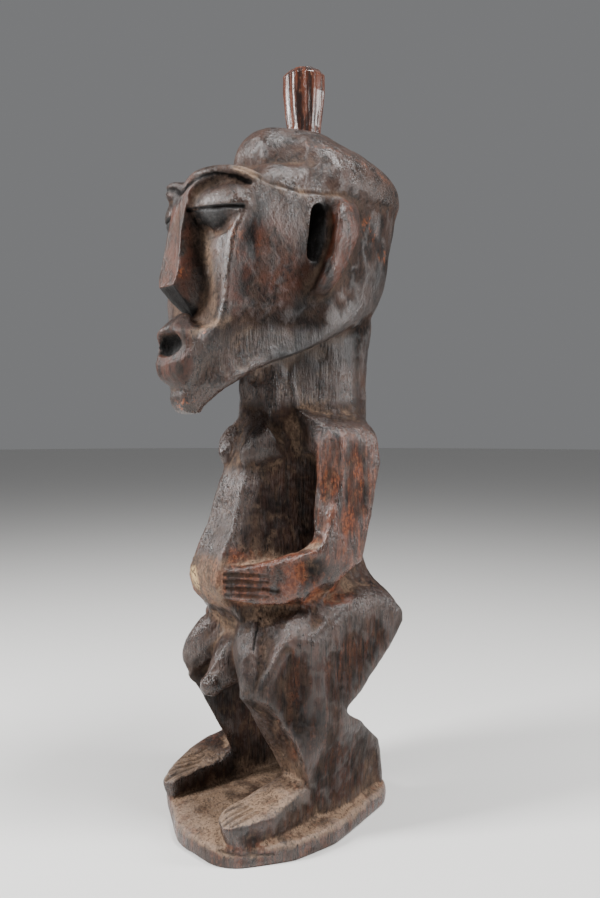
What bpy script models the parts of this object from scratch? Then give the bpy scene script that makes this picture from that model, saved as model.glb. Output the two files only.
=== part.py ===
"""Carved wooden power figure on its own base, with a loose peg in the crown."""
import math

import bmesh
import bpy
import numpy as np
from mathutils import Vector

# Driving dimensions, in metres
FIGURE_HEIGHT = 0.546
BASE_THICKNESS = 0.015
BASE_SWELL = 0.003
BASE_SWELL_WIDTH = 0.016
BASE_MARGIN = 0.006
BASE_EDGE_ROUND = 0.0025
PEG_TOP_DIAMETER = 0.037
PEG_FOOT_DIAMETER = 0.029
PEG_HEIGHT = 0.058
PEG_COLLAR = 0.004
PEG_FACET = 0.05
SOCKET_DEPTH = 0.024
SOCKET_CLEARANCE = 0.0003

# The figure's own measure: its height is cut into this many equal units
UNITS_IN_HEIGHT = 546
UNIT = FIGURE_HEIGHT / UNITS_IN_HEIGHT
GROUND = BASE_THICKNESS + BASE_SWELL

# Fineness of the carving, in units, and the number of triangles kept
VOXEL = 2.0
FINE_VOXEL = 1.6
ROUNDING_PASSES = 3
TRIANGLES = 8600
SINK = 0.4 * BASE_THICKNESS / UNIT
BASE_SIDES = 72
PEG_SIDES = 24

# Places are in units: X to the figure's left, Y to its back, Z up from the base's top
HALF_LEG_GAP = 33.0
PEG_Y = 39.0
CROWN_Z = 545.0
EAR_TURN = math.radians(14)
EYE_TURN = math.radians(28)
BROW_TILT = 0.09
ARM_CHAMFER = 9.0
SHIN_SLANTS = (10.0, 22.0)
RIGHT_SHIN_CUT = 24.0
GROOVE_RADIUS = 2.0
FINGER_PITCH = 5.5
SMOOTH_ANGLE = math.radians(32)

PART_COLLECTION = "songye_power_figure"
CUTTER_COLLECTION = "cutters"


def clear_scene():
    """Take away whatever the scene holds."""
    for item in list(bpy.data.objects):
        bpy.data.objects.remove(item, do_unlink=True)


def new_collection(name):
    """Make a collection in the scene."""
    collection = bpy.data.collections.new(name)
    bpy.context.scene.collection.children.link(collection)
    return collection


def wood(name, colour, roughness):
    """A plain wood material."""
    material = bpy.data.materials.new(name)
    material.use_nodes = True
    shader = material.node_tree.nodes["Principled BSDF"]
    shader.inputs["Base Color"].default_value = (*colour, 1.0)
    shader.inputs["Roughness"].default_value = roughness
    shader.inputs["Metallic"].default_value = 0.0
    return material


def place(x, y, z):
    """A place in units as a place in metres."""
    return Vector((x * UNIT, y * UNIT, GROUND + z * UNIT))


def signed_power(value, power):
    """A power that keeps the sign."""
    return math.copysign(abs(value) ** power, value)


def smooth_stations(stations, steps):
    """Fill in between stations with a Catmull-Rom curve through each of their numbers."""
    rows = np.array(stations, dtype=float)
    padded = np.vstack([2 * rows[0] - rows[1], rows, 2 * rows[-1] - rows[-2]])
    filled = []
    for i in range(1, len(padded) - 2):
        p0, p1, p2, p3 = padded[i - 1:i + 3]
        for t in np.arange(steps) / steps:
            bend = 2 * p0 - 5 * p1 + 4 * p2 - p3
            twist = 3 * p1 - p0 - 3 * p2 + p3
            filled.append(0.5 * (2 * p1 + (p2 - p0) * t + bend * t ** 2 + twist * t ** 3))
    filled.append(rows[-1])
    return filled


def loft(name, rings):
    """A closed skin over rings that all have the same number of points."""
    bm = bmesh.new()
    layers = [[bm.verts.new(point) for point in ring] for ring in rings]
    count = len(layers[0])
    for low, high in zip(layers, layers[1:]):
        for i in range(count):
            j = (i + 1) % count
            bm.faces.new((low[i], low[j], high[j], high[i]))
    bm.faces.new(list(reversed(layers[0])))
    bm.faces.new(layers[-1])
    bmesh.ops.recalc_face_normals(bm, faces=bm.faces)
    mesh = bpy.data.meshes.new(name)
    bm.to_mesh(mesh)
    bm.free()
    return mesh


def oval_ring(centre, across, along, a, b, power):
    """A rounded-square ring with half sizes a and b along two directions."""
    ring = []
    for i in range(32):
        angle = math.tau * i / 32
        u = a * signed_power(math.cos(angle), 2 / power)
        v = b * signed_power(math.sin(angle), 2 / power)
        ring.append(centre + (across * u + along * v) * UNIT)
    return ring


def wedge_ring(z, front_half, front_y, side_half, side_y, back_y, power):
    """A level ring: flat narrow front, straight cheeks that widen, rounded-square back."""
    half = []
    for i in range(4):
        half.append((front_half * i / 4, front_y))
    for i in range(8):
        t = i / 8
        x = front_half + (side_half - front_half) * t
        y = front_y + (side_y - front_y) * t
        half.append((x, y))
    for i in range(11):
        angle = math.pi / 2 * i / 10
        x = side_half * signed_power(math.cos(angle), 2 / power)
        y = side_y + (back_y - side_y) * signed_power(math.sin(angle), 2 / power)
        half.append((max(x, 0.0), y))
    mirrored = [(-x, y) for x, y in reversed(half[1:-1])]
    return [place(x, y, z) for x, y in half + mirrored]


def wedge_loft(name, stations, power):
    """A stack of level wedge rings; a station is z and the ring's five numbers."""
    rings = [wedge_ring(*row, power) for row in smooth_stations(stations, 3)]
    return loft(name, rings)


def stack(name, stations, power, turn=0.0):
    """A stack of level ovals; a station is z, x, y and the two half widths."""
    across = Vector((math.cos(turn), math.sin(turn), 0))
    along = Vector((-math.sin(turn), math.cos(turn), 0))
    rings = []
    for z, x, y, a, b in smooth_stations(stations, 3):
        rings.append(oval_ring(place(x, y, z), across, along, a, b, power))
    return loft(name, rings)


def sweep(name, stations, power, up=Vector((0, 0, 1))):
    """Ovals square to a path; a station is x, y, z, half thickness and half height."""
    rows = smooth_stations(stations, 4)
    centres = [place(*row[:3]) for row in rows]
    rings = []
    for i, row in enumerate(rows):
        before = centres[max(i - 1, 0)]
        after = centres[min(i + 1, len(rows) - 1)]
        along = (after - before).normalized()
        across = along.cross(up).normalized()
        rise = across.cross(along).normalized()
        rings.append(oval_ring(centres[i], across, rise, row[3], row[4], power))
    return loft(name, rings)


def slab(name, outline, inner, outer):
    """A side outline of (y, z) points, from the plane x = inner to x = outer."""
    rings = [[place(x, y, z) for y, z in outline] for x in (inner, outer)]
    return loft(name, rings)


def both_sides(mesh):
    """The mesh and its mirror image across the middle plane."""
    other = mesh.copy()
    bm = bmesh.new()
    bm.from_mesh(other)
    for vert in bm.verts:
        vert.co.x = -vert.co.x
    bmesh.ops.reverse_faces(bm, faces=bm.faces)
    bm.to_mesh(other)
    bm.free()
    return [mesh, other]


def torso():
    """Neck, chest, belly and hips as one stack; belly juts over the groin."""
    stations = [
        (124, 16, -27, 72, 32, 96),
        (137, 20, -38, 75, 30, 103),
        (150, 22, -46, 76, 28, 107),
        (159, 20, -53, 72, 26, 104),
        (167, 18, -60, 63, 24, 95),
        (183, 21, -66, 55, 20, 84),
        (200, 20, -62, 52, 20, 79),
        (228, 18, -49, 48, 20, 77),
        (255, 17, -41, 47, 20, 77),
        (274, 16, -33, 51, 22, 78),
        (292, 15, -27, 56, 26, 80),
        (308, 18, -20, 54, 30, 82),
        (320, 22, -16, 50, 33, 84),
        (345, 24, -14, 49, 36, 85),
        (390, 26, -8, 50, 42, 92),
    ]
    return [wedge_loft("torso", stations, 3.2)]


def head():
    """The head block: its underside climbs from the chin to the nape."""
    stations = [
        (311, 8, -80, 9, -78, -73),
        (320, 11, -85, 17, -74, -67),
        (328, 12, -86, 27, -68, -59),
        (336, 14, -86, 37, -61, -49),
        (343, 16, -84, 44, -54, -38),
        (350, 21, -81, 50, -43, -21),
        (357, 26, -78, 57, -24, -2),
        (364, 30, -76, 60, -8, 14),
        (372, 33, -75, 62, 6, 34),
        (380, 36, -74, 62, 12, 62),
        (390, 39, -73, 62, 14, 86),
        (403, 41, -72, 62, 14, 100),
        (424, 44, -72, 63, 14, 110),
        (440, 46, -71, 63, 14, 114),
        (458, 50, -66, 63, 16, 118),
        (476, 52, -58, 63, 18, 123),
        (490, 50, -45, 63, 20, 125),
        (504, 42, -32, 61, 20, 122),
    ]
    return [wedge_loft("head", stations, 2.6)]


def cap():
    """The crown: a low cap that stands a little proud of the temples."""
    stations = [
        (486, 32, -26, 65, 22, 126),
        (500, 31, -22, 65, 22, 125),
        (511, 24, -23, 61, 22, 117),
        (521, 20, -23, 53, 22, 104),
        (530, 17, -21, 43, 24, 87),
        (538, 14, -16, 32, 26, 70),
        (544, 10, -8, 22, 28, 56),
        (546, 5, 1, 10, 28, 48),
    ]
    return [wedge_loft("cap", stations, 2.6)]


def brow_and_nose():
    """A raised plate: the nose runs up into two arched brows."""
    nose = [
        (385, 3, -76, 11, -68, -60),
        (391, 4, -88, 14, -68, -60),
        (397, 5, -100, 16, -69, -60),
        (404, 8, -100, 18, -69, -60),
        (412, 12, -98, 19, -69, -60),
        (419, 13, -96, 19, -69, -60),
        (429, 11, -95, 18, -69, -60),
        (445, 9, -92, 17, -68, -58),
        (462, 9, -89, 17, -67, -56),
        (475, 10, -86, 19, -66, -54),
        (485, 11, -83, 24, -64, -50),
        (490, 12, -76, 24, -60, -46),
    ]
    brow = [
        (6, -77, 481, 8, 7),
        (16, -77, 486, 8, 7),
        (28, -71, 489, 8, 6),
        (39, -60, 488, 7, 6),
        (47, -49, 482, 6, 5),
        (52, -42, 476, 3, 3),
    ]
    brows = both_sides(sweep("brow", brow, 3.4))
    for mesh in brows:
        points = vertex_places(mesh)
        points[:, 2] += BROW_TILT * points[:, 0]
        set_vertex_places(mesh, points)
    return [wedge_loft("nose", nose, 3.0)] + brows


def eyes():
    """Half-closed eyes that swell out under the brows and turn with the cheeks."""
    rows = [
        (442, 29, -59, 4, 3), (448, 29, -60, 11, 8), (455, 29, -61, 18, 13), (462, 29, -61, 24, 16),
        (467, 29, -61, 26, 17), (474, 29, -61, 23, 15), (481, 29, -60, 17, 11), (487, 29, -58, 8, 6)]
    return both_sides(stack("eye", rows, 2.2, turn=EYE_TURN))


def mouth():
    """A muzzle with a jutting ring of lips, and a square chin under them."""
    muzzle = [(336, 0, -74, 16, 12), (350, 0, -74, 24, 13), (366, 0, -74, 30, 13), (377, 0, -71, 32, 10)]
    lips = [
        (331, 0, -76, 12, 12), (337, 0, -81, 16, 17), (345, 0, -82, 20, 19), (354, 0, -81, 23, 18),
        (363, 0, -80, 23, 17), (371, 0, -81, 22, 19), (377, 0, -80, 19, 17), (381, 0, -75, 13, 12)]
    chin = [(312, 0, -77, 9, 8), (320, 0, -79, 11, 11), (328, 0, -79, 11, 11), (336, 0, -76, 10, 8)]
    return [stack("muzzle", muzzle, 3.0), stack("lips", lips, 2.8), stack("chin", chin, 4.0)]


def ears():
    """A thick flap on each side of the head."""
    rows = [
        (480, 60, 28, 5, 9),
        (474, 65, 26, 7, 13),
        (464, 69, 23, 7, 15),
        (450, 70, 21, 7, 15),
        (436, 69, 16, 7, 14),
        (422, 68, 10, 7, 12),
        (410, 66, 3, 6, 10),
        (403, 61, 2, 4, 6),
    ]
    return both_sides(stack("ear", rows, 3.4, turn=EAR_TURN))


def breasts():
    """Small pointed breasts, cut in under the points."""
    path = [(22, -12, 290, 12, 17), (18, -24, 284, 11, 14), (14, -34, 279, 7, 8), (12, -39, 277, 4, 4)]
    return both_sides(sweep("breast", path, 2.4))


def arms():
    """Flat upper arms under sloping shoulders; forearms come forward to the belly."""
    outline = [
        (1, 298), (20, 299), (46, 298), (57, 292), (59, 275), (52, 243), (45, 220), (38, 196),
        (22, 180), (4, 171), (-12, 168), (-20, 172), (-20, 204), (-10, 209), (-2, 217), (-2, 233),
        (1, 261), (0, 284),
    ]
    upper = shaped(slab("upper_arm", outline, 56, 76), elbow_limit, 56)
    points = vertex_places(upper)
    outward = ease((points[:, 0] - 60) / 14)
    front = ease((26 - points[:, 1]) / 24) * ease((points[:, 2] - 215) / 40)
    points[:, 1] += ARM_CHAMFER * outward * front
    set_vertex_places(upper, points)
    shoulder = loft("shoulder", [
        [place(34, y, z) for y, z in ((4, 286), (-1, 317), (70, 319), (70, 280))],
        [place(56, y, z) for y, z in ((2, 276), (0, 307), (62, 309), (62, 270))],
        [place(74, y, z) for y, z in ((11, 280), (10, 298), (55, 299), (55, 275))]])
    lower = [
        (64, 22, 196, 9, 12),
        (61, 5, 189, 10, 20),
        (55, -12, 185, 10, 20),
        (46, -28, 182, 9, 18),
        (36, -41, 181, 9, 16),
        (26, -51, 181, 8, 14),
        (16, -58, 181, 6, 12),
    ]
    return both_sides(upper) + both_sides(shoulder) + both_sides(sweep("forearm", lower, 5.0))


def ease(value):
    """A soft step from 0 to 1."""
    t = np.clip(value, 0.0, 1.0)
    return t * t * (3 - 2 * t)


def elbow_limit(y, z):
    """How far out the arm's outer face lies, in units; it turns in under the elbow."""
    return 76 - 7 * ease((206 - z) / 40) - 12 * ease((2 - y) / 24) * ease((215 - z) / 20)


def leg_limit(y, z):
    """How far out the leg's outer face lies, in units; narrow at the knee, ankle and heel."""
    knee = 17 * ease((-2 - y) / 46) * ease((z - 20) / 60)
    heel = 17 * ease((y - 15) / 65) * ease((95 - z) / 45)
    ankle = 7 * ease((75 - z) / 60)
    bevel = 12 * ease((z - 136) / 24) * ease((10 - y) / 20)
    return 77 - np.maximum(knee, ankle) - heel - bevel


def shaped(mesh, limit, inner):
    """Draw a slab's outer part in to a limit that varies over its side."""
    obj = bpy.data.objects.new("shaped", mesh)
    bpy.context.scene.collection.objects.link(obj)
    remesh(obj, VOXEL * UNIT)
    points = vertex_places(obj.data)
    outer = points[:, 0].max()
    reach = (limit(points[:, 1], points[:, 2]) - inner) / (outer - inner)
    points[:, 0] = inner + (points[:, 0] - inner) * reach
    set_vertex_places(obj.data, points)
    shaped_mesh = obj.data
    bpy.data.objects.remove(obj)
    return shaped_mesh


def legs():
    """Thick bent legs, flat outside, from hip to heel; the right shin slants more."""
    outline = [
        (-58, 95), (-55, 108), (-49, 125), (-40, 141), (-29, 152), (-10, 161), (18, 166), (45, 169),
        (70, 167), (84, 155), (83, 140), (73, 126), (56, 110), (36, 91), (19, 78), (40, 66),
        (66, 47), (77, 38), (82, 24), (84, 8), (84, -SINK), (0, -SINK), (-10, 18), (-21, 38),
        (-34, 61), (-50, 87),
    ]
    pieces = both_sides(shaped(slab("leg", outline, HALF_LEG_GAP, 77), leg_limit, HALF_LEG_GAP))
    for mesh, slant, cut in zip(pieces, SHIN_SLANTS, (0.0, RIGHT_SHIN_CUT)):
        points = vertex_places(mesh)
        outward = ease((np.abs(points[:, 0]) - HALF_LEG_GAP) / 28)
        knee = ease((-12 - points[:, 1]) / 32) * ease((points[:, 2] - 15) / 40)
        shin = ease((20 - points[:, 1]) / 50) * ease((80 - points[:, 2]) / 40)
        points[:, 1] += outward * (slant * knee + cut * shin)
        set_vertex_places(mesh, points)
    return pieces


def inner_thighs():
    """Rounded inner sides of the thighs, which run up into the groin."""
    path = [(14, -16, 146, 20, 18), (25, -34, 132, 17, 18), (36, -45, 115, 13, 15), (43, -49, 101, 8, 9)]
    return both_sides(sweep("inner_thigh", path, 2.4))


def foot(name, rows):
    """A flat foot; a row is x, y, the half width and the top's height."""
    path = [(x, y, (top - SINK) / 2, half, (top + SINK) / 2) for x, y, half, top in rows]
    return sweep(name, path, 5.0)


def feet():
    """Flat feet; the left one is broader at the toes, the right one is cut back."""
    left = [
        (48, -82, 10, 11), (50, -77, 15, 14), (52, -66, 19, 16), (54, -48, 21, 19), (54, -28, 19, 25),
        (52, 0, 16, 32), (52, 24, 15, 34)]
    right = [
        (-37, -75, 5, 12), (-40, -68, 9, 16), (-45, -54, 14, 18), (-51, -36, 20, 20),
        (-54, -18, 22, 25), (-54, 4, 20, 31), (-53, 24, 17, 34)]
    return [foot("left_foot", left), foot("right_foot", right)]


def penis():
    """A keeled taper that ends in a small tip."""
    path = [
        (0, -10, 136, 26, 22),
        (0, -24, 124, 22, 21),
        (0, -38, 112, 17, 18),
        (0, -49, 103, 12, 13),
        (0, -55, 98, 9, 9),
        (0, -60, 96, 10, 10),
        (0, -67, 93, 4, 4),
    ]
    return [sweep("penis", path, 2.0)]


def bar(start, end, radius):
    """A thin round bar between two places, to cut a groove."""
    path = [(*start, radius, radius), (*end, radius, radius)]
    return sweep("bar", path, 2.0, up=Vector((0.1, 0.2, 1)))


def ear_pits():
    """The deep hollow in front of each ear flap."""
    rows = [
        (430, 60, -2, 14, 3), (436, 60, -1, 16, 4), (452, 60, 1, 16, 5), (466, 60, 3, 16, 5),
        (472, 60, 4, 14, 3)]
    return both_sides(stack("ear_pit", rows, 4.0, turn=EAR_TURN))


def mouth_pit():
    """The open mouth, seen between the lips."""
    return [sweep("mouth_pit", [(0, -112, 368, 17, 10), (0, -96, 364, 16, 9), (0, -84, 361, 12, 6)], 2.4)]


def finger_grooves():
    """Four grooves part each hand into five fingers."""
    pieces = []
    for i in range(4):
        z = 172 + FINGER_PITCH * i
        pieces += both_sides(bar((51, -41, z), (25, -62, z), GROOVE_RADIUS))
    return pieces


def toe_grooves():
    """Four grooves part each foot into five toes."""
    pieces = []
    for i in range(4):
        left = (41 + 7 * i, -90, 14), (43 + 6 * i, -60, 20.5)
        right = (-40 - 7 * i, -80 + 9 * i, 13), (-38 - 6 * i, -48 + 8 * i, 20.5)
        pieces += [bar(*left, GROOVE_RADIUS), bar(*right, GROOVE_RADIUS)]
    return pieces


def vertex_places(mesh):
    """All vertices of a mesh, in units."""
    flat = np.empty(len(mesh.vertices) * 3)
    mesh.vertices.foreach_get("co", flat)
    points = flat.reshape(-1, 3)
    points[:, 2] -= GROUND
    return points / UNIT


def set_vertex_places(mesh, points):
    """Move all vertices of a mesh to places in units."""
    metres = points * UNIT
    metres[:, 2] += GROUND
    mesh.vertices.foreach_set("co", metres.ravel())
    mesh.update()


def join(name, meshes):
    """All meshes in one object."""
    bm = bmesh.new()
    for mesh in meshes:
        bm.from_mesh(mesh)
        bpy.data.meshes.remove(mesh)
    mesh = bpy.data.meshes.new(name)
    bm.to_mesh(mesh)
    bm.free()
    return bpy.data.objects.new(name, mesh)


def bake(obj):
    """Turn an object's modifiers into its mesh."""
    graph = bpy.context.evaluated_depsgraph_get()
    graph.update()
    mesh = bpy.data.meshes.new_from_object(obj.evaluated_get(graph))
    obj.modifiers.clear()
    obj.data = mesh


def remesh(obj, size):
    """Fuse overlapping shapes into one closed skin."""
    modifier = obj.modifiers.new("Fuse", "REMESH")
    modifier.mode = "VOXEL"
    modifier.voxel_size = size
    bake(obj)


def relax(obj, passes):
    """Round the edges a little, as a worn carving has them."""
    modifier = obj.modifiers.new("Wear", "SMOOTH")
    modifier.factor = 0.5
    modifier.iterations = passes
    bake(obj)


def decimate(obj, triangles):
    """Keep about this many triangles."""
    obj.data.calc_loop_triangles()
    modifier = obj.modifiers.new("Fewer", "DECIMATE")
    modifier.ratio = triangles / len(obj.data.loop_triangles)
    modifier.use_collapse_triangulate = True
    bake(obj)


def base_ring(z, inset):
    """A level ring round the base: the hull of a round corner at each toe and heel."""
    corners = [
        (40, -60, 28), (56, -33, 24), (57, -5, 23), (30, 64, 27), (-32, 64, 27), (-68, 8, 24),
        (-48, -40, 21), (12, -61, 27.5)]
    ring = []
    for i in range(BASE_SIDES):
        angle = math.tau * i / BASE_SIDES
        facing = Vector((math.cos(angle), math.sin(angle), 0))
        reaches = []
        for x, y, radius in corners:
            centre = Vector((x * UNIT, y * UNIT, z))
            reach = radius * UNIT + BASE_MARGIN
            reaches.append((centre.dot(facing) + reach, centre + facing * (reach - inset)))
        ring.append(max(reaches, key=lambda item: item[0])[1])
    return ring


def base():
    """A slab with a softly rounded upper edge and a top that swells a little."""
    rings = [base_ring(0.0, 0.0)]
    for step in range(4):
        angle = math.pi / 2 * step / 3
        inset = BASE_EDGE_ROUND * (1 - math.cos(angle))
        rings.append(base_ring(BASE_THICKNESS - BASE_EDGE_ROUND * (1 - math.sin(angle)), inset))
    rings.append(base_ring(GROUND, BASE_SWELL_WIDTH))
    return bpy.data.objects.new("base_slab", loft("base_slab", rings))


def socket():
    """The hole for the peg."""
    bpy.ops.mesh.primitive_cylinder_add(
        vertices=PEG_SIDES, radius=PEG_FOOT_DIAMETER / 2 + SOCKET_CLEARANCE, depth=SOCKET_DEPTH * 2,
        location=place(0, PEG_Y, CROWN_Z))
    return bpy.context.object


def peg():
    """A faceted wooden peg, wider and domed at its top."""
    top = GROUND + CROWN_Z * UNIT
    foot_radius = PEG_FOOT_DIAMETER / 2
    top_radius = PEG_TOP_DIAMETER / 2
    profile = [(SOCKET_CLEARANCE - SOCKET_DEPTH, foot_radius), (PEG_COLLAR, foot_radius)]
    profile.append((0.30 * PEG_HEIGHT, (foot_radius + top_radius) / 2))
    for height, width in ((0.62, 1.0), (0.86, 0.99), (0.95, 0.72), (1.0, 0.2)):
        profile.append((height * PEG_HEIGHT, width * top_radius))
    rings = []
    for height, radius in profile:
        ring = []
        for i in range(PEG_SIDES):
            angle = math.tau * i / PEG_SIDES
            flat = PEG_FACET if i % 3 == 0 and height >= PEG_COLLAR else 0.0
            reach = radius * (1 - flat)
            x = reach * math.cos(angle)
            y = PEG_Y * UNIT + reach * math.sin(angle)
            ring.append(Vector((x, y, top + height)))
        rings.append(ring)
    return bpy.data.objects.new("crown_peg", loft("crown_peg", rings))


def boolean(obj, other, operation):
    """Join a shape to an object or cut it away."""
    modifier = obj.modifiers.new(operation.title(), "BOOLEAN")
    modifier.operation = operation
    modifier.solver = "EXACT"
    modifier.object = other
    bake(obj)


def cutter_object(obj, cutters):
    """Keep a cutting shape in its own collection, unseen in renders."""
    for owner in list(obj.users_collection):
        owner.objects.unlink(obj)
    cutters.objects.link(obj)
    obj.hide_render = True
    obj.display_type = "WIRE"
    return obj


def finish(obj, material):
    """Give an object its wood, and smooth shading between its edges."""
    obj.data.materials.clear()
    obj.data.materials.append(material)
    obj.data.shade_smooth()
    obj.data.set_sharp_from_angle(angle=SMOOTH_ANGLE)


def figure(parts, cutters):
    """The figure and its base, carved from one block."""
    shapes = torso() + head() + cap() + brow_and_nose() + eyes() + mouth() + ears()
    shapes += breasts() + arms() + legs() + inner_thighs() + feet() + penis()
    obj = join("figure", shapes)
    parts.objects.link(obj)
    remesh(obj, VOXEL * UNIT)
    grooves = join("grooves", ear_pits() + mouth_pit() + finger_grooves() + toe_grooves())
    boolean(obj, cutter_object(grooves, cutters), "DIFFERENCE")
    remesh(obj, FINE_VOXEL * UNIT)
    relax(obj, ROUNDING_PASSES)
    decimate(obj, TRIANGLES)
    boolean(obj, cutter_object(base(), cutters), "UNION")
    boolean(obj, cutter_object(socket(), cutters), "DIFFERENCE")
    finish(obj, wood("figure_wood", (0.06, 0.04, 0.032), 0.5))


def main():
    clear_scene()
    parts = new_collection(PART_COLLECTION)
    cutters = new_collection(CUTTER_COLLECTION)
    figure(parts, cutters)
    peg_obj = peg()
    parts.objects.link(peg_obj)
    finish(peg_obj, wood("peg_wood", (0.12, 0.045, 0.025), 0.3))


main()
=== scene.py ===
"""Looks of a carved wooden power figure: knife work, worn patina with painted shade and highlights, floor,
light and camera.
"""
import math

import bpy
import numpy as np
from mathutils import Matrix, Vector
from mathutils.kdtree import KDTree


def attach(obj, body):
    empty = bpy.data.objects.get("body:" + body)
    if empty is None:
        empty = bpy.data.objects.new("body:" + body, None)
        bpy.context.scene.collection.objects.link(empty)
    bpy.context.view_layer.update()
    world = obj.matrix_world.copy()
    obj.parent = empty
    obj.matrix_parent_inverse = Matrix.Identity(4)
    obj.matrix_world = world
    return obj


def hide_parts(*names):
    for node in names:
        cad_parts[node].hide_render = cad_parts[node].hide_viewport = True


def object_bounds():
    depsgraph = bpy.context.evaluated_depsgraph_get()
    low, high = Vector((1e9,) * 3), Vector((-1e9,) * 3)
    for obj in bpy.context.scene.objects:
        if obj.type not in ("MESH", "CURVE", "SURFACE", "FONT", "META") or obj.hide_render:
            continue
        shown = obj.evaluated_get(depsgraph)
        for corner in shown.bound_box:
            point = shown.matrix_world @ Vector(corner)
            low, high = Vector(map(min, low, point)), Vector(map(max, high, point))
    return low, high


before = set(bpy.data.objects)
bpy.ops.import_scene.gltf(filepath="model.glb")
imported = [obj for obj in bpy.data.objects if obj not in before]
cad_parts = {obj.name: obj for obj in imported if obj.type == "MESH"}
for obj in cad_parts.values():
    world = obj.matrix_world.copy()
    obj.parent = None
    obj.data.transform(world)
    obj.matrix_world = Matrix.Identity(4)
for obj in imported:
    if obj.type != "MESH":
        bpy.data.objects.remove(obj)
cad_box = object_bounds()

# All places on the carving are in millimetres in the row's frame
MM = 1000.0
FIGURE_VOXEL = 1.15
FIGURE_TRIANGLES = 190000
PEG_VOXEL = 0.6
PEG_TRIANGLES = 24000
PEG_AXIS = (0.0, 39.0)
PEG_MIDDLE = 590.0
PEG_FREE_FROM = 566.0
# Knife cuts down the peg: direction in degrees and distance from the axis as a share of the radius
PEG_CUTS = (
    (8, 0.95), (62, 0.93), (118, 0.96), (165, 0.94), (214, 0.96), (268, 0.93), (313, 0.95), (340, 0.97))
PEG_CUT_LEAN = 0.004
# How far the small facets lean from the skin under them
TILT = 0.05
# A drawn line marks no skin farther off than this, so that it doesn't reach through a thin part
LINE_REACH = 5.0

# The photograph's view: turned 50 degrees round the figure, looking 2 degrees down
CAMERA_AT = (0.570, -0.444, 0.326)
CAMERA_TURN = math.radians(50)
CAMERA_DIP = math.radians(2)
LENS = 35.0

# Soft boxes: metres to the right, towards the camera and up from their target, then size and watts
LIGHT_TARGET = (0.0, 0.0, 0.32)
SOFT_BOXES = (
    ("left_box", -0.95, 0.35, 0.60, 0.30, 0.70, 33.0),
    ("edge_box", -1.00, -0.20, 0.10, 0.25, 0.80, 1.5),
    ("right_box", 1.00, 0.20, 0.25, 0.25, 0.60, 10.0),
    ("top_box", 0.40, 0.25, 1.15, 0.35, 0.35, 20.0))
ROOM_LIGHT = 0.24

# Colours of the wood, the floor and the room, as linear light
PATINA_BLACK = (0.0050, 0.0034, 0.0030)
PATINA_BROWN = (0.027, 0.0155, 0.0110)
# Grey of dust in the fibres, also used as a painted sheen
GREY_FILM_AND_SHEEN = (0.062, 0.038, 0.028)
RUBBED_RED = (0.092, 0.026, 0.013)
CHIP_ORANGE = (0.380, 0.110, 0.036)
# Lighter brown for worn edges, which is also a painted highlight
WORN_BROWN_AND_HIGHLIGHT = (0.100, 0.060, 0.046)
DUST_TAN = (0.260, 0.172, 0.115)
SPLIT_BLACK = (0.004, 0.003, 0.0027)
PIT_BLACK = (0.005, 0.0035, 0.003)
# Painted shade in grooves, holes, undersides and the darker sides of head and legs
PAINTED_SHADE_BLACK = (0.0040, 0.0027, 0.0023)
BARE_YELLOW = (0.62, 0.42, 0.20)
PEG_DARK = (0.018, 0.008, 0.006)
PEG_RED = (0.105, 0.030, 0.014)
PEG_WORN = (0.300, 0.130, 0.070)
FLOOR_PALE = (0.78, 0.77, 0.75, 1.0)
ROOM_PALE = (0.80, 0.81, 0.83, 1.0)


def ease(value):
    """A soft step from 0 to 1."""
    t = np.clip(value, 0.0, 1.0)
    return t * t * (3 - 2 * t)


def above(values, start, width):
    """0 up to start, 1 from one width beyond it."""
    return ease((values - start) / width)


def below(values, end, width):
    """0 from end on, 1 from one width before it."""
    return ease((end - values) / width)


def unit(vector):
    """The direction of a vector."""
    return np.asarray(vector, dtype=float) / np.linalg.norm(vector)


def hashed(cells, seed):
    """A number from 0 to 1 for each cell of a lattice."""
    n = cells[..., 0] * 73856093 ^ cells[..., 1] * 19349663 ^ cells[..., 2] * 83492791
    n = (n ^ seed * 2654435) & 0xffffffff
    n = ((n ^ (n >> 13)) * 1274126177) & 0xffffffff
    return ((n ^ (n >> 16)) & 0xffff) / 65535


def noise(points, size, seed, octaves=1):
    """Smooth noise from -1 to 1; size is the width of a bump, one number or one for each axis."""
    total = np.zeros(len(points))
    share = 1.0
    scale = np.asarray(size, dtype=float)
    for octave in range(octaves):
        place = points / scale + 37.7 * octave
        low = np.floor(place).astype(np.int64)
        t = place - low
        t = ease(t)
        for corner in range(8):
            step = np.array([corner & 1, corner >> 1 & 1, corner >> 2 & 1])
            weight = np.prod(np.where(step, t, 1 - t), axis=1)
            total += share * weight * (2 * hashed(low + step, seed + octave) - 1)
        share *= 0.5
        scale = scale / 2
    return total


def path_distance(points, path, facings=None):
    """Each point's distance to a path; with facings, only the distance along the skin counts."""
    path = np.asarray(path, dtype=float)
    nearest = np.full(len(points), np.inf)
    for start, end in zip(path, path[1:]):
        along = end - start
        t = np.clip((points - start) @ along / (along @ along), 0, 1)
        offset = points - start - t[:, None] * along
        if facings is not None:
            through = np.sum(offset * facings, axis=1)
            offset -= through[:, None] * facings
            offset[np.abs(through) > LINE_REACH] = np.inf
        nearest = np.minimum(nearest, np.linalg.norm(offset, axis=1))
    return nearest


def mirrored(path):
    """The same places on the other side of the middle plane."""
    return [(-x, y, z) for x, y, z in path]


def bake(obj):
    """Turn an object's modifiers into its mesh."""
    graph = bpy.context.evaluated_depsgraph_get()
    graph.update()
    mesh = bpy.data.meshes.new_from_object(obj.evaluated_get(graph))
    obj.modifiers.clear()
    obj.data = mesh


def fine_copy(node, name, voxel):
    """A copy of a CAD node as an even fine skin."""
    obj = bpy.data.objects.new(name, node.data.copy())
    bpy.context.scene.collection.objects.link(obj)
    obj.data.materials.clear()
    modifier = obj.modifiers.new("Skin", "REMESH")
    modifier.mode = "VOXEL"
    modifier.voxel_size = voxel / MM
    bake(obj)
    return obj


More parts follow.
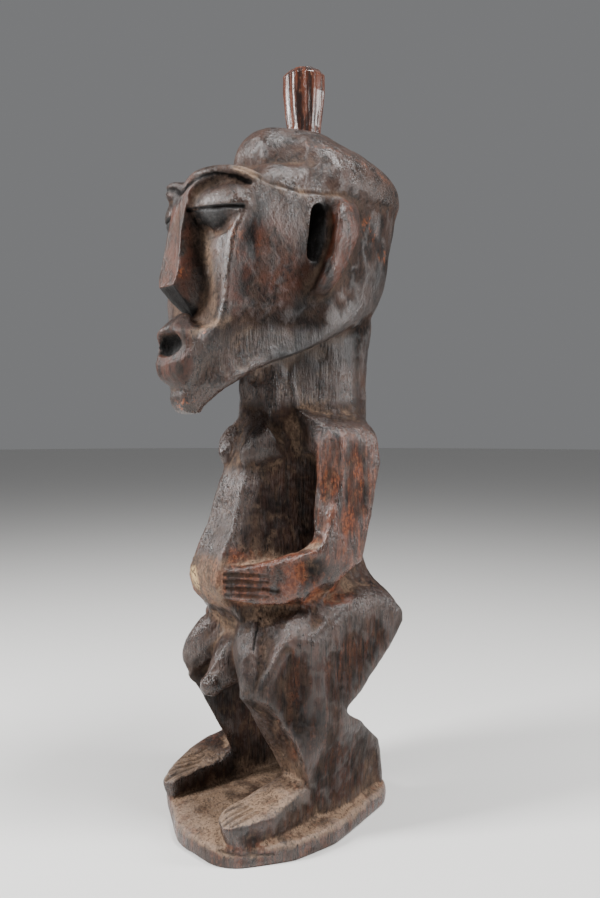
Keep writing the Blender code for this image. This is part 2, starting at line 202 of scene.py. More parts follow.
def thin_out(obj, triangles):
    """Keep at most this many triangles."""
    obj.data.calc_loop_triangles()
    modifier = obj.modifiers.new("Fewer", "DECIMATE")
    modifier.ratio = min(1.0, triangles / len(obj.data.loop_triangles))
    modifier.use_collapse_triangulate = True
    bake(obj)


class Carving:
    """A piece's skin as arrays, in millimetres, for knife work and paint."""

    def __init__(self, obj):
        self.obj = obj
        self.read()

    def read(self):
        """Take the places, facings and edges from the mesh."""
        mesh = self.obj.data
        count = len(mesh.vertices)
        places = np.empty(count * 3)
        facings = np.empty(count * 3)
        edges = np.empty(len(mesh.edges) * 2, dtype=np.int32)
        mesh.vertices.foreach_get("co", places)
        mesh.vertices.foreach_get("normal", facings)
        mesh.edges.foreach_get("vertices", edges)
        self.points = places.reshape(-1, 3) * MM
        self.facings = facings.reshape(-1, 3)
        self.edges = edges.reshape(-1, 2)

    def write(self):
        """Put the places back, inside the CAD box."""
        low, high = (np.array(corner) * MM for corner in cad_box)
        self.points = np.clip(self.points, low, high)
        self.obj.data.vertices.foreach_set("co", (self.points / MM).ravel())
        self.obj.data.update()

    def averaged(self, values, rounds):
        """Values smoothed over neighbouring vertices."""
        a, b = self.edges.T
        count = len(self.points)
        share = np.bincount(a, minlength=count) + np.bincount(b, minlength=count) + 1.0
        columns = values.reshape(count, -1).T.copy()
        for _ in range(rounds):
            for i, column in enumerate(columns):
                total = np.bincount(a, column[b], count) + np.bincount(b, column[a], count)
                columns[i] = (total + column) / share
        return columns.T.reshape(values.shape)

    def raise_by(self, heights):
        """Move each vertex along its facing."""
        self.points += self.facings * heights[:, None]

    def shave(self, at, facing, reach):
        """Cut a flat facet: what stands beyond the plane, near the place, goes back to it."""
        facing = unit(facing)
        offset = self.points - np.array(at, dtype=float)
        beyond = offset @ facing
        fade = ease((reach - np.linalg.norm(offset, axis=1)) / (0.25 * reach))
        cut = np.clip(beyond, 0, None) * fade
        self.points -= cut[:, None] * facing

    def soften(self, share, rounds, axes=(0, 1, 2)):
        """Wear a region's edges round; share from 0 to 1 says where."""
        a, b = self.edges[(share > 0.01)[self.edges].any(axis=1)].T
        used, index = np.unique(np.concatenate([a, b]), return_inverse=True)
        a, b = index.reshape(2, -1)
        count = len(used)
        links = np.bincount(a, minlength=count) + np.bincount(b, minlength=count)
        for axis in axes:
            places = self.points[used, axis]
            for _ in range(rounds):
                mean = (np.bincount(a, places[b], count) + np.bincount(b, places[a], count)) / links
                places += (mean - places) * share[used]
            self.points[used, axis] = places

    def near_line(self, path, width):
        """The vertices near a drawn line, and how far they lie from it along the skin."""
        low = np.min(path, axis=0) - width - LINE_REACH
        high = np.max(path, axis=0) + width + LINE_REACH
        near = np.flatnonzero(np.all((self.points > low) & (self.points < high), axis=1))
        return near, path_distance(self.points[near], path, self.facings[near])

    def groove(self, path, width, depth):
        """Cut a groove along a line; a negative depth leaves a ridge."""
        near, gap = self.near_line(path, 3 * width)
        cut = depth * np.exp(-(gap / width) ** 2)
        self.points[near] -= self.facings[near] * cut[:, None]

    def line(self, path, inner, outer):
        """A mask: 1 within the inner distance of a line, 0 beyond the outer one."""
        near, gap = self.near_line(path, outer)
        values = np.zeros(len(self.points))
        values[near] = ease((outer - gap) / (outer - inner))
        return values

    def both_lines(self, path, inner, outer):
        """The same line's mask on both sides of the middle plane."""
        return np.maximum(self.line(path, inner, outer), self.line(mirrored(path), inner, outer))

    def whittle(self, strength, size, depth, stretch, seed):
        """Many small knife facets; strength from 0 to 1 says where they are deep."""
        smooth = self.averaged(self.facings, 12)
        smooth /= np.linalg.norm(smooth, axis=1)[:, None]
        start = self.points.copy()
        squeezed = start * (1, 1, 1 / stretch)
        tree = KDTree(len(start))
        for i, point in enumerate(squeezed):
            tree.insert(point, i)
        tree.balance()
        a, b = self.edges.T
        edge = np.linalg.norm(start[a] - start[b], axis=1).mean()
        rng = np.random.default_rng(seed)
        centres = rng.permutation(len(start))[:int(len(start) * (edge / size) ** 2)]
        tilts = rng.normal(0, TILT, (len(centres), 3))
        for centre, tilt in zip(centres, tilts):
            deep = depth * strength[centre]
            if deep < 0.05:
                continue
            found = tree.find_range(squeezed[centre], size)
            near = np.array([index for _, index, _ in found])
            gap = np.array([distance for _, _, distance in found])
            facing = unit(smooth[centre] + tilt)
            beyond = (self.points[near] - start[centre]) @ facing + deep
            cut = np.clip(beyond, 0, 2 * deep) * ease((size - gap) / (0.3 * size))
            self.points[near] -= cut[:, None] * facing

    def store(self, name, values):
        """Keep a paint mask on the mesh."""
        layer = self.obj.data.attributes.new(name, "FLOAT", "POINT")
        layer.data.foreach_set("value", np.clip(values, 0, 1).astype(np.float32))


# Lines of the carving on the figure's left side
BROW_UNDER = [(1, -85, 497), (8, -85, 501), (24, -82, 504), (33, -75, 506), (42, -63, 504), (49, -55, 500)]
LID_SLIT = [(11, -84, 482), (26, -80, 481), (42, -72, 481), (51, -63, 481)]
LOWER_LID = [(12, -82, 481), (14, -76, 471), (23, -70, 463), (36, -70, 464), (45, -69, 468), (51, -61, 480)]
CHEEK_EDGE = [(53, -58, 486), (49, -64, 469), (46, -68, 453), (44, -70, 438), (41, -69, 413), (38, -67, 399)]
NOSE_EDGE = [(2, -86, 489), (9, -90, 463), (14, -92, 438)]
NOSE_SIDE = [(17, -74, 466), (21, -72, 445), (24, -71, 425), (26, -70, 405)]
HAIRLINE = [(44, -65, 512), (53, -47, 503), (58, -14, 498), (64, 27, 501)]
CROWN_EDGE = [(39, 10, 544), (54, 36, 538), (57, 66, 529), (55, 89, 519)]
LIP_RIM = [(21, -90, 388), (23, -86, 380), (19, -94, 369), (3, -100, 366)]
LIP_LEDGE = [(21, -88, 389), (24, -78, 395), (38, -67, 399)]
NECK_EDGE = [(31, 1, 367), (32, 1, 349), (33, 3, 338)]
BELLY_EDGE = [(23, -27, 277), (22, -35, 258), (22, -45, 238)]
ARM_TOP = [(23, -54, 219), (35, -21, 221), (60, -8, 226), (74, -6, 230)]
THIGH_RIDGE = [(75, 22, 184), (75, 5, 174), (72, -13, 161)]
KNEE_RIDGE = [(59, -32, 155), (56, -42, 138), (50, -50, 119), (41, -55, 113)]
GROIN_CRACK = [(33, -34, 171), (38, -42, 160), (43, -48, 150)]
# The forearm's middle line, with its heights halved because the forearm is twice as high as it is thick
FOREARM = [(64, 22, 100), (61, 5, 100), (46, -28, 100), (26, -51, 99.5), (16, -58, 99.5)]
PENIS_RIDGE = [(5, -46, 148), (4, -54, 136), (1, -60, 126), (1, -66, 118)]
FAR_THIGH = [(-10, -42, 155), (-19, -50, 142), (-37, -56, 123)]
FOOT_CRACK = [(53, -91, 14), (62, -84, 11), (70, -76, 10), (79, -56, 8)]
GOUGE = [(48, -42, 196), (55, -34, 194)]
EAR_HOLE = [(54, 3, 452), (54, 7, 486)]
MOUTH_HOLE = [(-9, -88, 381), (9, -88, 381)]
EYE_LOW = [(20, -80, 475), (34, -76, 474)]
BROW_END = [(56, -34, 482), (57, -12, 470)]
CHEEK = [(50, -50, 468), (48, -56, 452), (45, -60, 436), (43, -60, 412)]
TEMPLE = [(55, -36, 462), (55, -20, 444), (52, -30, 430)]
BARE_WOOD = [(-13, -66, 204), (-11, -65, 194)]
FINGERS = [[(51, -41, 190 + 5.5 * i), (25, -62, 190 + 5.5 * i)] for i in range(4)]
LEFT_TOES = [[(41 + 7 * i, -90, 32), (43 + 6 * i, -60, 38.5)] for i in range(4)]
RIGHT_TOES = [[(-40 - 7 * i, -80 + 9 * i, 31), (-38 - 6 * i, -48 + 8 * i, 38.5)] for i in range(4)]

# Grooves on both sides, then on one side: line, width and depth, where a negative depth is a ridge
PAIRED_CUTS = [
    (BROW_UNDER, 1.5, 1.3), (LID_SLIT, 1.1, 2.6), (LOWER_LID, 1.6, 0.9), (CHEEK_EDGE, 2.2, -0.5),
    (NOSE_EDGE, 1.4, -0.7), (HAIRLINE, 1.5, 1.2), (LIP_RIM, 1.6, -0.7), (NECK_EDGE, 2.2, -0.9),
    (BELLY_EDGE, 1.8, -0.7), (THIGH_RIDGE, 2.0, -0.8), (KNEE_RIDGE, 2.2, -1.2)]
PAIRED_CUTS += [(finger, 1.2, 1.1) for finger in FINGERS]
SINGLE_CUTS = [(toe, 1.2, 1.0) for toe in LEFT_TOES + RIGHT_TOES]
SINGLE_CUTS += [
    (GROIN_CRACK, 0.7, 0.9), (PENIS_RIDGE, 2.2, -1.0), (FAR_THIGH, 2.6, -0.7), (FOOT_CRACK, 0.7, 0.6),
    (GOUGE, 1.4, 1.2)]

# Orange chips in the patina: place and radius
CHIPS = (
    ((60, 58, 478), 13), ((56, 82, 459), 12), ((16, -92, 434), 6), ((24, -82, 392), 8), ((8, -84, 335), 10),
    ((72, 22, 488), 10))


def zone(points, path, inner, outer):
    """1 within the inner distance of a path, 0 beyond the outer one."""
    low = np.min(path, axis=0) - outer
    high = np.max(path, axis=0) + outer
    near = np.flatnonzero(np.all((points > low) & (points < high), axis=1))
    values = np.zeros(len(points))
    gap = path_distance(points[near], path)
    values[near] = ease((outer - gap) / (outer - inner))
    return values


def both(points, path, inner, outer):
    """The same zone on both sides of the middle plane."""
    return np.maximum(zone(points, path, inner, outer), zone(points, mirrored(path), inner, outer))


def spot(points, place, radius):
    """A soft round patch."""
    gap = np.linalg.norm(points - np.array(place, dtype=float), axis=1)
    return ease((radius - gap) / (0.5 * radius))


def workable(skin):
    """1 where the knife may work, 0 round the peg's hole and at the underside."""
    x, y, z = skin.points.T
    clear_of_peg = above(np.hypot(x - PEG_AXIS[0], y - PEG_AXIS[1]), 19, 4)
    clear_of_peg[z < 500] = 1.0
    return clear_of_peg * above(z, 1.0, 4)


def wear_round(skin, keep):
    """Round the base's rim, the hips, shoulders, arms, breasts and crown."""
    x, y, z = skin.points.T
    side = np.abs(x)
    rim = below(z, 17.4, 1.5)
    hip = above(z, 166, 10) * below(z, 212, 12) * above(side, 28, 10) * above(y, -26, 14)
    shoulder = above(z, 292, 10) * below(z, 342, 8) * above(side, 36, 10)
    upper_arm = above(side, 50, 8) * above(z, 214, 12) * below(z, 335, 10)
    breast = above(z, 262, 8) * below(z, 312, 8) * below(side, 36, 6) * below(y, -14, 8)
    crown = above(z, 506, 10) * (1 - 0.6 * above(y, 5, 15)) * keep
    skin.soften(rim, 70, (0, 1))
    skin.soften(hip, 110)
    skin.soften(shoulder, 50)
    skin.soften(np.maximum(upper_arm, breast), 14)
    skin.soften(crown, 60)
    skin.write()
    skin.read()


def cut_facets(skin, head):
    """Small knife facets, deepest on the neck and weakest on face and muzzle."""
    x, y, z = skin.points.T
    face = below(y, -40, 20) * above(z, 395, 20) * below(z, 512, 8)
    muzzle = below(y, -55, 15) * above(z, 325, 8)
    soft = np.maximum(face, muzzle)
    neck = above(z, 334, 10) * below(z, 408, 12) * below(y, 70, 20)
    thigh = above(z, 112, 20) * below(z, 192, 14)
    groin = below(np.abs(x), 28, 8) * above(z, 84, 8) * below(z, 170, 8)
    strength = 0.28 + 0.72 * np.maximum(neck, 0.3 * thigh) - 0.1 * head - 0.2 * groin
    skin.whittle(strength * (1 - soft), 7.0, 0.5, 1.9, 7)
    skin.whittle((0.5 + 0.4 * neck) * (1 - 0.9 * soft), 12.0, 0.3, 1.5, 11)


def cut_planes(skin):
    """Flat cuts under and along the nose, and on both thighs and knees."""
    skin.shave((0, -96, 424), (0, -0.72, -0.69), 34)
    skin.shave((0, -89.5, 466), (0, -0.983, 0.18), 50)
    for sign in (1, -1):
        skin.shave((sign * 71, 5, 176), (sign * 0.75, -0.35, 0.56), 24)
        skin.shave((sign * 55, -41, 137), (sign * 0.72, -0.62, 0.3), 24)


def draw_lines(skin):
    """All grooves and ridges."""
    for path, width, depth in PAIRED_CUTS:
        skin.groove(path, width, depth)
        skin.groove(mirrored(path), width, depth)
    for path, width, depth in SINGLE_CUTS:
        skin.groove(path, width, depth)


def move_wood(skin, head):
    """Slow waves, raised fibres, and the left side of the crown a little lower."""
    x, y, z = skin.points.T
    behind = y + 9 - (z - 501) * 15 / 36
    crown = above(z, 500, 14) * above(x, 22, 10) * ease(behind / 2.5) * below(behind, 60, 40)
    waves = 0.5 * noise(skin.points, 34, 3, 2)
    fibres = 0.2 * noise(skin.points, (5.5, 5.5, 46), 5, 2) * (1 - 0.7 * head)
    skin.raise_by(waves + fibres - 0.35 - 0.9 * crown)


def carve_figure(skin):
    """Knife work on the figure."""
    keep = workable(skin)
    wear_round(skin, keep)
    before = skin.points.copy()
    head = above(before[:, 2], 372, 20)
    cut_facets(skin, head)
    cut_planes(skin)
    draw_lines(skin)
    move_wood(skin, head)
    skin.points = before + (skin.points - before) * keep[:, None]
    skin.write()


class Regions:
    """Parts of the figure as soft masks, and its weathering, for the paint."""

    def __init__(self, skin):
        self.places = skin.points
        x, self.y, self.z = self.places.T
        self.side = np.abs(x)
        y, z, side = self.y, self.z, self.side
        fine = skin.averaged(self.places, 5)
        broad = skin.averaged(fine, 40)
        self.sharp = np.sum((self.places - fine) * skin.facings, axis=1)
        self.wide = np.sum((fine - broad) * skin.facings, axis=1)
        self.blotch = noise(self.places, 30, 21, 3)
        self.patch = noise(self.places, (11, 11, 17), 22, 3)
        self.upward = above(skin.facings[:, 2], 0.45, 0.4)
        self.head = above(z, 385, 20)
        self.flap = above(side, 63, 5) * above(z, 418, 8)
        self.cheek = both(self.places, CHEEK, 4, 13)
        self.nose = below(side, 20, 6) * below(y, -80, 6) * above(z, 405, 8)
        self.lips = below(side, 25, 5) * below(y, -84, 6) * above(z, 345, 10) * below(z, 400, 6)
        self.arm = above(side, 50, 10) * above(z, 200, 12) * below(z, 325, 20)
        low_arm = both(self.places * (1, 1, 0.5), FOREARM, 12, 16)
        self.forearm = low_arm * above(z, 177, 8) * above(side, 14, 6)
        self.hand = below(side, 25, 5) * above(z, 174, 6) * below(z, 222, 8) * below(y, -50, 5)
        self.legs = below(z, 175, 30) * above(z, 20, 10) * above(side, 50, 15)
        self.base = below(z, 18, 3)


def paint_wear_and_highlight(skin, at):
    """Edges and bulges that are rubbed and polished, painted lighter as real wear and as a painted
    highlight.
    """
    wear_and_highlight = above(at.sharp, 0.03, 0.16) * 0.5 + above(at.wide, 0.15, 1.2) * 0.6
    for path in (NOSE_EDGE, LIP_RIM, NECK_EDGE, BELLY_EDGE, THIGH_RIDGE, KNEE_RIDGE):
        wear_and_highlight = np.maximum(wear_and_highlight, skin.both_lines(path, 1.0, 4.0))
    for path in (PENIS_RIDGE, FAR_THIGH):
        wear_and_highlight = np.maximum(wear_and_highlight, skin.line(path, 1.5, 4.5))
    # Neck, belly and brow ends are painted lighter as a highlight, on top of the real polish
    neck = above(at.z, 334, 10) * below(at.z, 400, 12) * below(at.y, 60, 15)
    belly = below(at.side, 24, 5) * above(at.z, 216, 10) * below(at.z, 290, 12) * below(at.y, -18, 8)
    brow = both(at.places, BROW_END, 6, 26)
    wear_and_highlight = np.maximum(wear_and_highlight, np.maximum.reduce([1.15 * neck, 1.3 * belly, 0.8 * brow]))
    exposed = (1 - 0.5 * at.nose) * (1 - 0.8 * at.hand) * (1 - 0.5 * at.lips)
    exposed = exposed * (1 - 0.4 * at.flap) * (1 - 0.4 * above(at.z, 500, 8))
    skin.store("wear_and_highlight", wear_and_highlight * exposed * (0.85 + 0.5 * at.blotch))


def paint_dust(skin, at):
    """Pale dust in hollows and along lines, on the base, the instep and the broken hand; the instep is also
    painted lighter as painted light.
    """
    hollow = below(at.sharp, -0.05, 0.2) * 0.4 + below(at.wide, -0.3, 1.3) * 0.6
    rim = above(skin.facings[:, 2], 0.1, 0.3) * below(at.z, 22, 3)
    floor = below(at.z, 44, 12) * np.maximum(at.upward, rim)
    # The instep is lighter as dust and as painted light
    instep_dust_and_light = spot(at.places, (52, -34, 44), 34)
    dust = np.maximum.reduce([
        hollow * (0.5 + 0.3 * at.upward) * (1 - 0.55 * at.head),
        0.6 * both(at.places, HAIRLINE, 1.0, 5.0) * (0.7 + 0.8 * at.patch),
        0.6 * both(at.places, NOSE_SIDE, 1.0, 6.0),
        0.8 * both(at.places, LIP_LEDGE, 1.0, 5.0),
        0.7 * both(at.places, ARM_TOP, 2.0, 6.0) * at.upward,
        floor + 0.45 * instep_dust_and_light,
        0.45 * at.hand])
    skin.store("dust", dust * (0.85 + 0.6 * at.patch))


def paint_red(skin, at):
    """Red-brown wood where the patina is rubbed thin."""
    temple = both(at.places, TEMPLE, 5, 24)
    ear = at.flap * below(at.z, 505, 8)
    red = 0.12 + np.maximum.reduce([
        0.8 * at.arm, 0.95 * at.forearm, 0.9 * at.nose, at.cheek, 0.5 * temple, 0.8 * ear, 0.6 * at.lips,
        0.3 * at.hand, 0.25 * at.legs, 0.5 * at.base])
    skin.store("red", red * (0.9 + 0.7 * at.blotch) * (1 + 0.35 * at.patch))


def paint_chips(skin, at):
    """Orange chips, in their places and scattered over the red parts."""
    spots = [spot(at.places, place, radius) for place, radius in CHIPS]
    scattered = [
        0.35 * at.forearm, 0.35 * at.arm, 0.4 * spot(at.places, (50, -60, 455), 20),
        0.35 * both(at.places, CROWN_EDGE, 1, 5), 0.3 * at.hand, 0.14 * at.legs, 0.2 * at.base]
    skin.store("chips", np.maximum.reduce(spots + scattered))


def paint_shade(skin, at):
    """Painted shade: near-black in deep lines, holes and undersides, and darker sides of head and legs."""
    jaw = below(at.z, 432, 35) * above(at.z, 362, 10) * above(at.side, 18, 10) * above(at.y, -55, 20)
    rear = above(at.side, 30, 10) * above(at.y, 25, 15) * above(at.z, 400, 15) * below(at.z, 500, 10)
    outer_leg = at.legs * above(np.abs(skin.facings[:, 0]), 0.5, 0.3)
    # Jaw, cheeks, back of the head and the legs' outer faces are painted darker as shade
    shade = np.maximum.reduce([0.5 * jaw, 0.4 * outer_leg, 0.5 * at.cheek, 0.45 * rear])
    # The nose's underside is painted dark as shade
    under_nose = below(skin.facings[:, 2], -0.35, 0.3) * below(at.side, 25, 4) * below(at.y, -73, 4)
    under_nose = under_nose * above(at.z, 398, 4) * below(at.z, 445, 4)
    # Grooves, slits, holes and cracks are painted near-black as shade
    painted_shade = np.maximum.reduce([
        shade * (0.8 + 0.6 * at.patch),
        under_nose,
        0.8 * both(at.places, EYE_LOW, 6, 13) * below(at.z, 483, 2),
        both(at.places, EAR_HOLE, 7, 11) * below(at.side, 62, 3),
        zone(at.places, MOUTH_HOLE, 7, 11),
        0.8 * skin.both_lines(BROW_UNDER, 0.4, 1.8),
        skin.both_lines(LID_SLIT, 0.8, 1.9),
        0.8 * skin.line(GROIN_CRACK, 0.2, 1.0),
        0.6 * skin.line(FOOT_CRACK, 0.2, 1.2),
        0.5 * skin.line(GOUGE, 0.4, 2.0)])
    for path in FINGERS:
        painted_shade = np.maximum(painted_shade, 0.45 * skin.both_lines(path, 0.3, 1.4))
    for path in LEFT_TOES + RIGHT_TOES:
        painted_shade = np.maximum(painted_shade, 0.4 * skin.line(path, 0.3, 1.5))
    skin.store("painted_shade", painted_shade)


def paint_figure(skin):
    """All masks that the figure's material reads."""
    at = Regions(skin)
    paint_wear_and_highlight(skin, at)
    paint_dust(skin, at)
    paint_red(skin, at)
    paint_chips(skin, at)
    paint_shade(skin, at)
    skin.store("grain", (1 - 0.85 * at.head) * (1 - 0.85 * at.forearm) * (1 - 0.35 * at.arm))
    skin.store("bare", zone(at.places, BARE_WOOD, 2.5, 6.5) * (0.8 + 0.6 * at.patch))


class Nodes:
    """Short calls for building one material's node tree."""

    def __init__(self, name):
        self.material = bpy.data.materials.new(name)
        self.material.use_nodes = True
        self.tree = self.material.node_tree
        self.shader = self.tree.nodes["Principled BSDF"]

    def new(self, kind, **settings):
        """Add a node with its settings."""
        node = self.tree.nodes.new("ShaderNode" + kind)
        for key, value in settings.items():
            setattr(node, key, value)
        return node

    def link(self, source, target):
        """Join two sockets."""
        self.tree.links.new(source, target)

    def attribute(self, name):
        """A paint mask of the mesh."""
        return self.new("Attribute", attribute_name=name).outputs["Fac"]

    def texture(self, scale, detail, roughness=0.55, shift=0.0, turn=0.0):
        """Noise over the object's own coordinates; scale is bumps per metre along each axis."""
        place = self.new("TexCoord").outputs["Object"]
        mapping = self.new("Mapping", vector_type="TEXTURE")
        mapping.inputs["Scale"].default_value = [1 / number for number in scale]
        mapping.inputs["Rotation"].default_value = (turn, 0.0, 0.0)
        mapping.inputs["Location"].default_value = (shift, shift, shift)
        texture = self.new("TexNoise")
        texture.inputs["Scale"].default_value = 1.0
        texture.inputs["Detail"].default_value = detail
        texture.inputs["Roughness"].default_value = roughness
        self.link(place, mapping.inputs["Vector"])
        self.link(mapping.outputs["Vector"], texture.inputs["Vector"])
        return texture.outputs["Fac"]

    def math(self, operation, a, b, clamp=False):
        """One sum; a and b are sockets or numbers, and clamp keeps the result from 0 to 1."""
        node = self.new("Math", operation=operation, use_clamp=clamp)
        for socket, value in zip(node.inputs, (a, b)):
            if isinstance(value, (int, float)):
                socket.default_value = value
            else:
                self.link(value, socket)
        return node.outputs["Value"]

    def times(self, a, b, clamp=False):
        """A product."""
        return self.math("MULTIPLY", a, b, clamp)

    def plus(self, a, b, clamp=False):
        """A sum."""
        return self.math("ADD", a, b, clamp)

    def minus(self, a, b):
        """A difference."""
        return self.math("SUBTRACT", a, b)

    def between(self, value, low, high):
        """0 below low, 1 above high and soft between them."""
        node = self.new("MapRange", interpolation_type="SMOOTHSTEP")
        node.inputs["From Min"].default_value = low
        node.inputs["From Max"].default_value = high
        self.link(value, node.inputs["Value"])
        return node.outputs["Result"]

    def mix(self, share, a, b):
        """A colour between two; a and b are sockets or colours."""
        node = self.new("Mix", data_type="RGBA")
        self.link(share, node.inputs["Factor"])
        for socket, value in zip(node.inputs[6:8], (a, b)):
            if isinstance(value, tuple):
                socket.default_value = (*value, 1.0)
            else:
                self.link(value, socket)
        return node.outputs[2]

    def bump(self, height, distance, strength, below=None):
        """Small relief on top of another."""
        node = self.new("Bump")
        node.inputs["Distance"].default_value = distance
        node.inputs["Strength"].default_value = strength
        self.link(height, node.inputs["Height"])
        if below is not None:
            self.link(below, node.inputs["Normal"])
        return node.outputs["Normal"]


def patina_wood():
    """Old dark wood: black-brown patina, grey film that is partly a painted sheen, red-brown rubbing, orange
    chips, dust, worn edges that are partly a painted highlight, and painted shade.
    """
    n = Nodes("patina_wood")
    streaks = n.texture((210, 210, 26), 8, 0.62)
    fibres = n.texture((640, 640, 60), 6, 0.62, shift=3.0)
    mottle = n.texture((75, 75, 52), 9, 0.66, shift=7.0)
    cloud = n.texture((26, 26, 20), 6, shift=17.0)
    specks = n.texture((400, 400, 300), 5, 0.62, shift=11.0)
    scratch_up = n.texture((420, 420, 90), 4, 0.6, shift=23.0, turn=0.6)
    scratch_down = n.texture((420, 420, 90), 4, 0.6, shift=29.0, turn=-0.9)
    scratches = n.math("MAXIMUM", scratch_up, scratch_down)
    wear_and_highlight, dust, red, chips, painted_shade, grain, bare = (
        n.attribute(name) for name in ("wear_and_highlight", "dust", "red", "chips", "painted_shade", "grain", "bare"))
    plain = n.minus(1.0, grain)
    figure = n.plus(n.times(streaks, grain), n.times(mottle, plain))
    fine = n.plus(n.times(fibres, grain), n.times(scratches, plain))

    # Colour, from the oldest layer to the newest
    colour = n.mix(n.between(mottle, 0.42, 0.58), PATINA_BLACK, PATINA_BROWN)
    # Grey film: dust in the fibres and partly a painted sheen
    film_and_sheen = n.times(n.between(cloud, 0.38, 0.60), n.between(fine, 0.44, 0.62))
    colour = n.mix(n.times(film_and_sheen, 0.6), colour, GREY_FILM_AND_SHEEN)
    rubbed = n.times(n.between(figure, 0.40, 0.58), red, clamp=True)
    colour = n.mix(rubbed, colour, RUBBED_RED)
    chipped = n.times(n.between(figure, 0.49, 0.56), n.between(specks, 0.46, 0.56))
    chipped = n.times(chipped, chips, clamp=True)
    colour = n.mix(chipped, colour, CHIP_ORANGE)
    # Worn edges in lighter brown: real wear and a painted highlight
    worn_and_highlight = n.times(wear_and_highlight, n.between(specks, 0.40, 0.60), clamp=True)
    colour = n.mix(n.times(worn_and_highlight, 0.45), colour, WORN_BROWN_AND_HIGHLIGHT)
    dusty = n.times(dust, n.plus(n.between(specks, 0.36, 0.62), 0.45), clamp=True)
    colour = n.mix(n.times(dusty, 0.85), colour, DUST_TAN)
    splits = n.times(n.between(fibres, 0.56, 0.64), n.plus(grain, 0.15), clamp=True)
    colour = n.mix(n.times(splits, 0.85), colour, SPLIT_BLACK)
    pits = n.times(n.between(specks, 0.60, 0.66), 0.7)
    colour = n.mix(pits, colour, PIT_BLACK)
    # Painted shade: near-black in grooves, holes, undersides and on the darker sides of head and legs
    painted_dark = n.times(painted_shade, n.plus(n.between(specks, 0.25, 0.6), 0.6), clamp=True)
    colour = n.mix(painted_dark, colour, PAINTED_SHADE_BLACK)
    laid_bare = n.times(bare, n.between(specks, 0.35, 0.5), clamp=True)
    colour = n.mix(laid_bare, colour, BARE_YELLOW)
    n.link(colour, n.shader.inputs["Base Color"])

    # Dusty and near-black places are dull, and worn ones shine
    rough = n.plus(n.times(dusty, 0.35), n.times(fine, 0.45))
    rough = n.plus(rough, n.times(mottle, 0.30))
    rough = n.minus(rough, n.times(n.between(fine, 0.54, 0.64), 0.16))
    rough = n.plus(rough, n.times(painted_dark, 0.35))
    rough = n.minus(rough, n.times(wear_and_highlight, 0.24))
    n.link(n.plus(rough, 0.12, clamp=True), n.shader.inputs["Roughness"])
    n.link(n.plus(n.times(wear_and_highlight, 0.55), 0.15), n.shader.inputs["Specular IOR Level"])

    # Relief too fine for the mesh
    relief = n.bump(figure, 0.0017, 0.6)
    relief = n.bump(fine, 0.0012, 0.85, relief)
    relief = n.bump(specks, 0.0009, 0.7, relief)
    n.link(relief, n.shader.inputs["Normal"])
    return n.material


def handled_wood():
    """The peg's wood: dark red-brown with dark streaks, polished by hands."""
    n = Nodes("handled_wood")
    streaks = n.texture((260, 260, 24), 8, 0.62, shift=5.0)
    specks = n.texture((420, 420, 160), 5, 0.6, shift=2.0)
    colour = n.mix(n.between(streaks, 0.40, 0.64), PEG_DARK, PEG_RED)
    colour = n.mix(n.times(n.between(specks, 0.60, 0.72), 0.7), colour, PEG_WORN)
    n.link(colour, n.shader.inputs["Base Color"])
    n.link(n.plus(n.times(specks, 0.35), 0.08), n.shader.inputs["Roughness"])
    n.shader.inputs["Coat Weight"].default_value = 0.5
    n.shader.inputs["Coat Roughness"].default_value = 0.2
    relief = n.bump(streaks, 0.0012, 0.5)
    n.link(n.bump(specks, 0.0006, 0.5, relief), n.shader.inputs["Normal"])
    return n.material


def make_figure():
    """The figure and its base."""
    obj = fine_copy(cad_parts["figure"], "carved_figure", FIGURE_VOXEL)
    carve_figure(Carving(obj))
    thin_out(obj, FIGURE_TRIANGLES)
    obj.data.shade_smooth()
    paint_figure(Carving(obj))
    obj.data.materials.append(patina_wood())
    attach(obj, "root")
    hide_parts("figure")


def whittled_round(skin):
    """Long flat knife cuts down the peg, all round."""
    offset = skin.points[:, :2] - PEG_AXIS
    radius = np.hypot(*offset.T)
    angle = np.arctan2(offset[:, 1], offset[:, 0])
    height = skin.points[:, 2] - PEG_MIDDLE
    reach = radius.copy()
    for i, (turn, share) in enumerate(PEG_CUTS):
        away = np.cos(angle - math.radians(turn) - PEG_CUT_LEAN * math.sin(7.0 * i) * height)
        limit = share * radius / np.maximum(away, 0.5)
        reach = np.minimum(reach, limit)
    skin.points[:, :2] = np.array(PEG_AXIS) + offset * (reach / np.maximum(radius, 0.01))[:, None]


def make_peg():
    """The peg in the crown, whittled and handled."""
    obj = fine_copy(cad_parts["crown_peg"], "carved_crown_peg", PEG_VOXEL)
    skin = Carving(obj)
    before = skin.points.copy()
    whittled_round(skin)
    skin.raise_by(0.25 * noise(skin.points, (4, 4, 22), 9, 2) - 0.2)
    free = above(before[:, 2], PEG_FREE_FROM, 5)
    skin.points = before + (skin.points - before) * free[:, None]
    skin.write()
    thin_out(obj, PEG_TRIANGLES)
    obj.data.shade_smooth()
    obj.data.materials.append(handled_wood())
    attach(obj, "root")
    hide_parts("crown_peg")


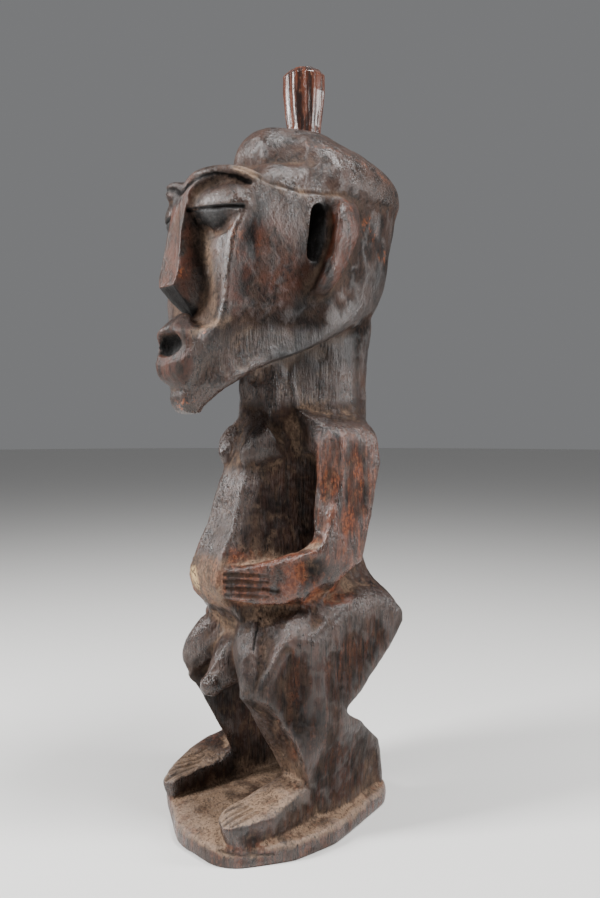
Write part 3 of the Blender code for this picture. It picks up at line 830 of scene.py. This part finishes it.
def make_floor():
    """A wide plain pale floor."""
    bpy.ops.mesh.primitive_circle_add(vertices=96, radius=9.0, fill_type="NGON", location=(0, 0, 0))
    floor = bpy.context.object
    floor.name = "floor"
    material = bpy.data.materials.new("floor_pale")
    material.use_nodes = True
    shader = material.node_tree.nodes["Principled BSDF"]
    shader.inputs["Base Color"].default_value = FLOOR_PALE
    shader.inputs["Roughness"].default_value = 0.8
    floor.data.materials.append(material)


def camera_axes():
    """The view's right, up and backward directions."""
    turn, dip = CAMERA_TURN, CAMERA_DIP
    right = Vector((math.cos(turn), math.sin(turn), 0))
    back = Vector((math.sin(turn) * math.cos(dip), -math.cos(turn) * math.cos(dip), math.sin(dip)))
    return right, back.cross(right), back


def make_camera():
    """The camera at the photograph's place."""
    right, up, back = camera_axes()
    data = bpy.data.cameras.new("camera")
    data.lens = LENS
    camera = bpy.data.objects.new("camera", data)
    columns = Matrix((right, up, back)).transposed().to_4x4()
    camera.matrix_world = Matrix.Translation(CAMERA_AT) @ columns
    bpy.context.scene.collection.objects.link(camera)
    bpy.context.scene.camera = camera


def soft_light(name, place, width, height, power):
    """A soft white rectangular lamp that faces the target."""
    data = bpy.data.lights.new(name, "AREA")
    data.shape = "RECTANGLE"
    data.size = width
    data.size_y = height
    data.energy = power
    lamp = bpy.data.objects.new(name, data)
    lamp.location = place
    facing = Vector(LIGHT_TARGET) - place
    lamp.rotation_euler = facing.to_track_quat("-Z", "Y").to_euler()
    bpy.context.scene.collection.objects.link(lamp)


def make_light():
    """Soft boxes left, right and above, and a dim pale room."""
    right, up, back = camera_axes()
    for name, across, toward, high, width, height, power in SOFT_BOXES:
        place = Vector(LIGHT_TARGET) + right * across + back * toward + up * high
        soft_light(name, place, width, height, power)
    world = bpy.data.worlds.new("room")
    world.use_nodes = True
    background = world.node_tree.nodes["Background"]
    background.inputs["Color"].default_value = ROOM_PALE
    background.inputs["Strength"].default_value = ROOM_LIGHT
    bpy.context.scene.world = world


make_figure()
make_peg()
make_floor()
make_camera()
make_light()

bpy.context.view_layer.update()
